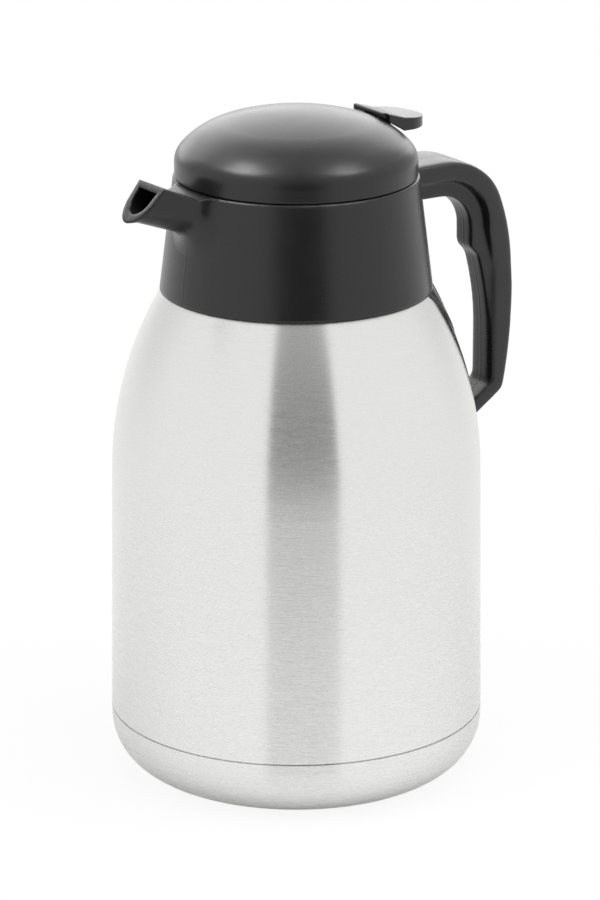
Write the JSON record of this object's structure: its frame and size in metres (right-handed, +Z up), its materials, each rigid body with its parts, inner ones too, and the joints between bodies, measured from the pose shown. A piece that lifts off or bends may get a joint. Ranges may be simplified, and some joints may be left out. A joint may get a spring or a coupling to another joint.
{
  "type": "insulated pouring jug",
  "caption": "Double-walled insulated steel jug with a moulded collar and pouring spout, a side handle and a screw-in domed lid whose thumb lever lifts a sprung valve.",
  "frame": {"origin": "on the jug's axis, in the plane of the foot ring that it stands on", "axes": "+Z up along the jug's axis, spout towards -X, handle towards +X; the plane y = 0 is the mirror plane"},
  "size_m": [0.1602, 0.133, 0.2405],
  "materials": {
    "shell_steel": "fine brushed",
    "inner_steel": "satin",
    "part_steel": "bright drawn",
    "black_plastic": "fine matt moulding",
    "inner_plastic": "satin",
    "silicone": "matt translucent",
    "seal_metal": "dull"
  },
  "bodies": {
    "jug": {"outer_shell": "shell_steel", "base_cap": "shell_steel", "shell_bottom": "inner_steel", "vacuum_seal": "seal_metal", "getter": "seal_metal", "liner_bottom": "inner_steel", "inner_liner": "inner_steel", "liner_shoulder": "inner_steel", "collar": "black_plastic", "neck_seal": "silicone", "neck_ring": "inner_plastic", "handle_shell": "black_plastic", "handle_insert": "black_plastic", "handle_strap": "black_plastic", "handle_screws": "part_steel"},
    "lid_seal": {"stopper_gasket": "silicone"},
    "lid": {"lid_dome": "black_plastic", "stopper_body": "inner_plastic", "stopper_deck": "inner_plastic", "lid_screws": "part_steel", "lever_pin": "part_steel", "stem_seal": "silicone", "valve_spring": "part_steel"},
    "lever": {"lever": "black_plastic"},
    "valve": {"valve_stem": "part_steel", "valve_plug": "inner_plastic", "valve_seal": "silicone", "stem_clip": "inner_plastic"}
  },
  "joints": [
    {"name": "lid_lift", "type": "slide", "parent": "jug", "child": "lid_seal", "axis": [0, 0, 1], "range_m": [0, 0.00625]},
    {"name": "lid_turn", "type": "hinge", "parent": "lid_seal", "child": "lid", "pos_m": [0, 0, 0.2], "axis": [0, 0, 1], "range_deg": [0, 450.01]},
    {"name": "lever_press", "type": "hinge", "parent": "lid", "child": "lever", "pos_m": [0.0335, 0, 0.22826], "axis": [0, 1, 0], "range_deg": [0, 10.5]},
    {"name": "valve_lift", "type": "slide", "parent": "lid", "child": "valve", "axis": [0, 0, 1], "range_m": [0, 0.00614], "stiffness_N_per_m": 300, "springref_m": -0.005, "deforming": ["valve_spring"]}
  ],
  "couplings": [
    {"joint": "lid_turn", "follows": "lid_lift", "rad_per_m": 1256.6},
    {"joint": "lever_press", "follows": "valve_lift", "rad_per_m": 29.851}
  ]
}
